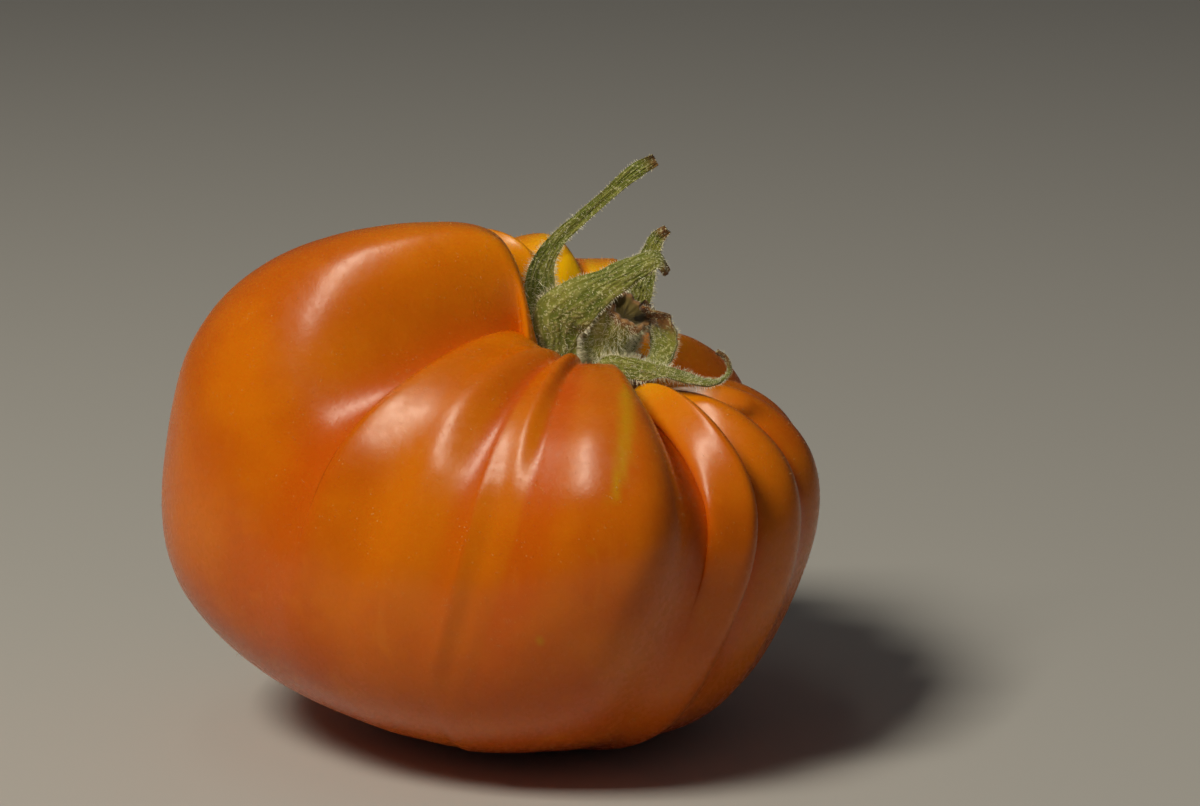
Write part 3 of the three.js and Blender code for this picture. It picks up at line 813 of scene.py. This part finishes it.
class Nodes:
    """Short calls for building a material's nodes."""

    def __init__(self, name):
        self.material = bpy.data.materials.new(name)
        self.material.use_nodes = True
        self.tree = self.material.node_tree
        self.shader = self.tree.nodes["Principled BSDF"]
        self.place = self.new("ShaderNodeTexCoord").outputs["Object"]

    def new(self, kind):
        return self.tree.nodes.new(kind)

    def join(self, output, socket):
        self.tree.links.new(output, socket)

    def put(self, value, socket):
        if isinstance(value, bpy.types.NodeSocket):
            self.join(value, socket)
        else:
            socket.default_value = value

    def value(self, name):
        node = self.new("ShaderNodeAttribute")
        node.attribute_name = name
        return node.outputs["Fac"]

    def noise(self, scale, detail=3.0, roughness=0.55, place=None):
        node = self.new("ShaderNodeTexNoise")
        node.inputs["Scale"].default_value = scale
        node.inputs["Detail"].default_value = detail
        node.inputs["Roughness"].default_value = roughness
        self.join(place or self.place, node.inputs["Vector"])
        return node.outputs["Fac"]

    def cells(self, scale, place=None):
        node = self.new("ShaderNodeTexVoronoi")
        node.inputs["Scale"].default_value = scale
        self.join(place or self.place, node.inputs["Vector"])
        return node.outputs["Distance"]

    def stretched(self, x, y, z):
        node = self.new("ShaderNodeMapping")
        node.inputs["Scale"].default_value = (x, y, z)
        self.join(self.place, node.inputs["Vector"])
        return node.outputs["Vector"]

    def band(self, value, low, high, start=0.0, end=1.0):
        """Smooth step of a value between two limits."""
        node = self.new("ShaderNodeMapRange")
        node.interpolation_type = "SMOOTHSTEP"
        self.put(value, node.inputs["Value"])
        node.inputs["From Min"].default_value = low
        node.inputs["From Max"].default_value = high
        node.inputs["To Min"].default_value = start
        node.inputs["To Max"].default_value = end
        return node.outputs["Result"]

    def maths(self, operation, a, b):
        node = self.new("ShaderNodeMath")
        node.operation = operation
        self.put(a, node.inputs[0])
        self.put(b, node.inputs[1])
        return node.outputs[0]

    def mix(self, share, a, b):
        node = self.new("ShaderNodeMix")
        node.data_type = "RGBA"
        self.put(share, node.inputs["Factor"])
        self.put(a, node.inputs["A"])
        self.put(b, node.inputs["B"])
        return node.outputs["Result"]

    def bump(self, height, strength, distance, below=None):
        node = self.new("ShaderNodeBump")
        node.inputs["Strength"].default_value = strength
        node.inputs["Distance"].default_value = distance
        self.join(height, node.inputs["Height"])
        if below is not None:
            self.join(below, node.inputs["Normal"])
        return node.outputs["Normal"]


def skin_material():
    n = Nodes("tomato_skin")
    crease = n.value("crease")
    down = n.value("down")
    golden_and_painted_light = n.value("golden_and_painted_light")
    broad = n.noise(55, 2)
    blotch = n.noise(160, 4)
    streaks = n.noise(1, 4, 0.6, n.stretched(420, 420, 70))
    # Orange, redder in broad patches and towards the blossom end, lighter in small blotches
    colour = n.mix(n.band(broad, 0.35, 0.68), linear(222, 117, 3), linear(210, 101, 2))
    colour = n.mix(n.band(down, 0.55, 0.95), colour, linear(194, 76, 4))
    colour = n.mix(n.band(blotch, 0.55, 0.75, 0, 0.35), colour, linear(226, 122, 6))
    # Golden shoulders fade out down each lobe; on the lobe behind the calyx the gold is pushed up as
    # painted light for a brightly lit patch
    shoulder = n.maths("MULTIPLY", n.band(down, 0.5, 0.3), n.band(down, 0.06, 0.2))
    gold_and_painted_light = n.maths("MULTIPLY", shoulder, golden_and_painted_light)
    gold_and_painted_light = n.maths("MULTIPLY", gold_and_painted_light, n.band(blotch, 0.25, 0.7, 0.65, 1.1))
    colour = n.mix(gold_and_painted_light, colour, linear(244, 186, 8))
    # Fine pale streaks that run down the lobes, and warm red in the grooves
    colour = n.mix(n.band(streaks, 0.6, 0.75, 0, 0.18), colour, linear(236, 140, 36))
    red = n.maths("MULTIPLY", n.band(crease, 0.25, 0.95), n.band(down, 0.75, 0.5))
    colour = n.mix(n.maths("MULTIPLY", red, 0.55), colour, linear(206, 72, 4))
    stripe = n.maths("MULTIPLY", n.value("streak"), n.band(n.noise(500, 3), 0.2, 0.6, 0.75, 1))
    colour = n.mix(stripe, colour, linear(208, 142, 4))
    # Tiny pale specks in patches all over the skin
    specks = n.cells(1300)
    patchy = n.band(n.noise(300, 2), 0.5, 0.62)
    dots = n.maths("MULTIPLY", n.band(specks, 0.17, 0.1), patchy)
    colour = n.mix(n.maths("MULTIPLY", dots, 0.3), colour, linear(246, 196, 120))
    # Corky patches near the stem
    cork = n.maths("MULTIPLY", n.band(down, 0.14, 0.05), n.band(n.noise(900, 3), 0.4, 0.6))
    colour = n.mix(n.maths("MULTIPLY", cork, 0.6), colour, linear(150, 110, 50))
    n.join(colour, n.shader.inputs["Base Color"])
    n.join(n.band(n.noise(700, 3), 0.3, 0.75, 0.24, 0.31), n.shader.inputs["Roughness"])
    n.shader.inputs["Subsurface Weight"].default_value = 0.18
    n.shader.inputs["Subsurface Radius"].default_value = (1.0, 0.35, 0.08)
    n.shader.inputs["Subsurface Scale"].default_value = 0.0022
    n.shader.inputs["Specular IOR Level"].default_value = 0.34
    fine = n.bump(n.noise(2600, 3), 0.12, 0.00012)
    fine = n.bump(dots, 0.35, 0.00008, fine)
    fine = n.bump(streaks, 0.15, 0.00015, fine)
    n.join(n.bump(blotch, 0.15, 0.0004, fine), n.shader.inputs["Normal"])
    return n.material


def sepal_material():
    n = Nodes("sepal_leaf")
    dry = n.value("dry")
    rib = n.value("rib")
    along = n.value("along")
    grain = n.noise(700, 5, 0.62)
    blotch = n.noise(230, 3)
    green = n.mix(n.band(blotch, 0.35, 0.7), linear(94, 104, 35), linear(130, 130, 54))
    green = n.mix(n.band(along, 0.25, 0.0, 0, 0.6), green, linear(150, 154, 76))
    green = n.mix(n.band(rib, -0.2, 1.0, 0, 0.45), green, linear(176, 172, 104))
    brown = n.mix(n.band(grain, 0.35, 0.7), linear(84, 54, 26), linear(138, 98, 54))
    edge = n.maths("ADD", dry, n.band(blotch, 0.5, 0.8, -0.1, 0.4))
    colour = n.mix(n.band(edge, 0.25, 0.85), green, brown)
    colour = n.mix(n.band(grain, 0.6, 0.75, 0, 0.5), colour, linear(80, 74, 30))
    colour = n.mix(n.band(n.noise(2600, 2), 0.56, 0.66, 0, 0.55), colour, linear(214, 212, 164))
    n.join(colour, n.shader.inputs["Base Color"])
    n.join(n.band(grain, 0.3, 0.7, 0.62, 0.85), n.shader.inputs["Roughness"])
    n.shader.inputs["Subsurface Weight"].default_value = 0.12
    n.shader.inputs["Subsurface Radius"].default_value = (0.6, 0.8, 0.2)
    n.shader.inputs["Subsurface Scale"].default_value = 0.0008
    n.shader.inputs["Sheen Weight"].default_value = 0.35
    n.shader.inputs["Sheen Roughness"].default_value = 0.5
    n.shader.inputs["Specular IOR Level"].default_value = 0.25
    fine = n.bump(n.noise(2400, 4), 0.5, 0.00018)
    n.join(n.bump(grain, 0.5, 0.0003, fine), n.shader.inputs["Normal"])
    return n.material


def stem_material():
    n = Nodes("stem_bark")
    dry = n.value("dry")
    inside = n.value("inside")
    grain = n.noise(900, 5, 0.6)
    fibres = n.noise(1, 4, 0.6, n.stretched(1500, 1500, 260))
    green = n.mix(n.band(fibres, 0.35, 0.7), linear(140, 146, 62), linear(190, 186, 110))
    brown = n.mix(n.band(grain, 0.35, 0.68), linear(122, 84, 50), linear(178, 138, 92))
    browned = n.maths("ADD", dry, n.band(grain, 0.4, 0.7, -0.15, 0.15))
    colour = n.mix(n.band(browned, 0.1, 0.7), green, brown)
    colour = n.mix(n.band(inside, 0.5, 1.0), colour, linear(120, 104, 58))
    n.join(colour, n.shader.inputs["Base Color"])
    n.join(n.band(grain, 0.3, 0.7, 0.7, 0.9), n.shader.inputs["Roughness"])
    n.shader.inputs["Sheen Weight"].default_value = 0.3
    n.shader.inputs["Specular IOR Level"].default_value = 0.2
    fine = n.bump(fibres, 0.5, 0.0003)
    n.join(n.bump(grain, 0.5, 0.0003, fine), n.shader.inputs["Normal"])
    return n.material


def hair_material(name, pale, warm):
    n = Nodes(name)
    colour = n.mix(n.band(n.noise(400, 2), 0.35, 0.65), pale, warm)
    n.join(colour, n.shader.inputs["Base Color"])
    n.shader.inputs["Roughness"].default_value = 0.55
    n.shader.inputs["Sheen Weight"].default_value = 0.3
    return n.material


# Pieces

fruit, fruit_points = make_fruit()
fruit.data.materials.append(skin_material())
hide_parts("fruit")

calyx, calyx_hairs = make_calyx()
calyx.data.materials.append(sepal_material())
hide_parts("calyx")

stem, stem_hairs = make_stem()
stem.data.materials.append(stem_material())
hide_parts("stem_stub")

pale_hair = hair_material("pale_hair", linear(250, 247, 226), linear(226, 220, 180))
calyx_hairs.data.materials.append(pale_hair)
stem_hairs.data.materials.append(pale_hair)


FUZZ_COUNT = 7000
FUZZ_RADIUS = 0.02
FUZZ_FLOOR = 6  # none grows lower than this
FUZZ_MARGIN = 6  # rows without any at either end of the fruit


def make_fuzz():
    """Very short, sparse hairs on the skin, away from the spot that the fruit rests on."""
    rows, columns = fruit_points.shape[:2]
    across = np.roll(fruit_points, -1, 1) - np.roll(fruit_points, 1, 1)
    along = np.gradient(fruit_points, axis=0)
    normals = unit(np.cross(along, across))
    row = random_draw.integers(FUZZ_MARGIN, rows - FUZZ_MARGIN, FUZZ_COUNT)
    column = random_draw.integers(0, columns, FUZZ_COUNT)
    clear = fruit_points[row, column, 2] > FUZZ_FLOOR
    row, column = row[clear], column[clear]
    roots = fruit_points[row, column]
    spread = random_draw.normal(0, 0.5, roots.shape)
    lengths = random_draw.uniform(0.22, 0.6, len(roots))
    return hair_coat("fruit_fuzz", roots, normals[row, column] + spread, lengths, FUZZ_RADIUS, 0.1)


fuzz = make_fuzz()
fuzz.data.materials.append(hair_material("skin_fuzz", linear(240, 200, 140), linear(226, 150, 80)))

# Floor, lights and camera

FLOOR_REACH = 6.0
floor_mesh = bpy.data.meshes.new("floor")
corners = [(-1, -1), (1, -1), (1, 1), (-1, 1)]
floor_mesh.from_pydata([(x * FLOOR_REACH, y * FLOOR_REACH, 0) for x, y in corners], [], [(0, 1, 2, 3)])
floor = bpy.data.objects.new("floor", floor_mesh)
bpy.context.scene.collection.objects.link(floor)
floor_nodes = Nodes("pale_floor")
floor_nodes.shader.inputs["Base Color"].default_value = (0.56, 0.55, 0.54, 1)
floor_nodes.shader.inputs["Roughness"].default_value = 0.8
floor_mesh.materials.append(floor_nodes.material)

TARGET = Vector((0.0164, 0.0, 0.0484))  # what the camera looks at, in metres
LIGHT_COLOUR = (1.0, 0.93, 0.76)


def place_lamp(name, data, aim, direction, distance):
    """A lamp in that direction from its aim, its width level with the floor."""
    data.color = LIGHT_COLOUR
    lamp = bpy.data.objects.new(name, data)
    way = Vector(direction).normalized()
    lamp.location = aim + way * distance
    sideways = (Vector((1, 0, 0)) - way * way.x).normalized()
    lamp.rotation_euler = Matrix((sideways, way.cross(sideways), way)).transposed().to_euler()
    bpy.context.scene.collection.objects.link(lamp)
    return lamp


def soft_box(name, direction, distance, width, depth, power):
    data = bpy.data.lights.new(name, "AREA")
    data.shape = "RECTANGLE"
    data.size = width
    data.size_y = depth
    data.energy = power
    return place_lamp(name, data, TARGET, direction, distance)


# A soft key from the upper left and front, and a long narrow box overhead for the highlights
key_light = soft_box("key_light", (-0.48, -0.46, 0.75), 1.1, 0.3, 0.3, power=8.8)
key_light.visible_glossy = False
top_light = soft_box("top_light", (-0.18, -0.05, 0.98), 0.9, 0.09, 0.6, power=4.2)
top_light.visible_diffuse = False

# A small soft beam on the calyx and the lobe behind it
BEAM_AIM = Vector((0.015, 0.009, 0.066))
beam = bpy.data.lights.new("calyx_light", "SPOT")
beam.energy = 24
beam.spot_size = math.radians(2.8)
beam.spot_blend = 1
beam.shadow_soft_size = 0.03
calyx_light = place_lamp("calyx_light", beam, BEAM_AIM, (0.2, -0.8, 0.56), 0.9)
calyx_light.visible_glossy = False

world = bpy.data.worlds.new("studio")
bpy.context.scene.world = world
world.use_nodes = True
world.node_tree.nodes["Background"].inputs["Color"].default_value = (1.0, 1.0, 1.0, 1)
world.node_tree.nodes["Background"].inputs["Strength"].default_value = 0.045

bpy.context.scene.view_settings.view_transform = "Standard"

CAMERA_ELEVATION = math.radians(13)
CAMERA_DISTANCE = 0.583
CAMERA_LENS = 120.7
camera_data = bpy.data.cameras.new("camera")
camera_data.lens = CAMERA_LENS
camera_data.sensor_width = 36
camera_data.clip_start = 0.01
camera = bpy.data.objects.new("camera", camera_data)
look = Vector((0, -math.cos(CAMERA_ELEVATION), math.sin(CAMERA_ELEVATION)))
camera.location = TARGET + look * CAMERA_DISTANCE
camera.rotation_euler = look.to_track_quat("Z", "Y").to_euler()
bpy.context.scene.collection.objects.link(camera)
bpy.context.scene.camera = camera
